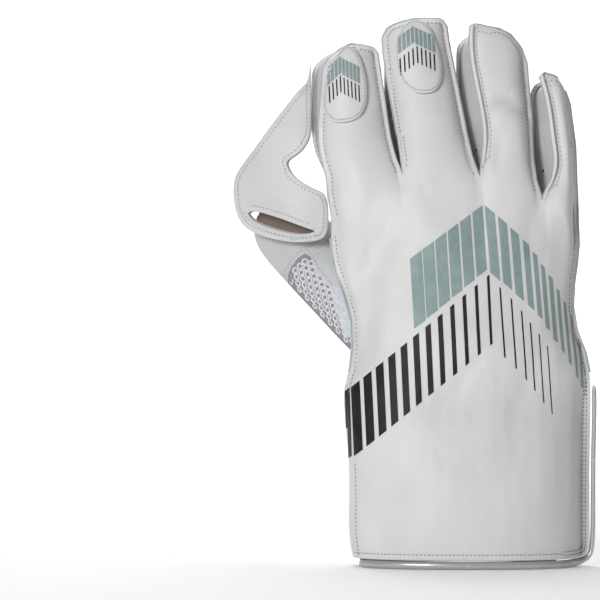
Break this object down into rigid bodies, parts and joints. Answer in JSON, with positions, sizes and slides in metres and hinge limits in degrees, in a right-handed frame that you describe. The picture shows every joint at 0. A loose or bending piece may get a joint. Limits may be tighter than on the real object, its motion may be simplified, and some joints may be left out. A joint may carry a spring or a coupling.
{
  "type": "wicketkeeping glove",
  "caption": "Right-hand wicketkeeping glove with a long padded cuff, pimpled rubber palm, separate finger stalls and a catching web between thumb and index finger.",
  "frame": {"origin": "centre of the bounding box in plan, on the surface that the cuff's rim stands on", "axes": "+Z from the cuff's rim towards the finger tips, -Y out of the back of the hand, +Y out of the palm, the thumb towards -X"},
  "size_m": [0.222, 0.0974, 0.3338],
  "materials": {
    "white_leather": "smooth off-white leather, low sheen",
    "pimpled_rubber": "matt pinkish-beige rubber covered with small rings",
    "soft_leather": "soft light grey-blue nap leather",
    "spacer_mesh": "open lilac-white air mesh",
    "silver_piping": "glossy silver-grey coated cord"
  },
  "bodies": {
    "root": {"back_leather": "white_leather", "gusset_index_middle": "white_leather", "gusset_index_side": "white_leather", "gusset_little_side": "white_leather", "gusset_middle_ring": "white_leather", "gusset_ring_little": "white_leather", "palm_cuff": "white_leather", "palm_rubber": "pimpled_rubber", "patch_index": "white_leather", "patch_middle": "white_leather", "piping_back": "silver_piping", "piping_palm": "silver_piping", "thumb_leather": "white_leather", "thumb_mesh": "spacer_mesh", "thumb_rubber": "pimpled_rubber", "web_leather": "white_leather", "web_rubber": "pimpled_rubber", "wrist_suede": "soft_leather"}
  },
  "joints": []
}
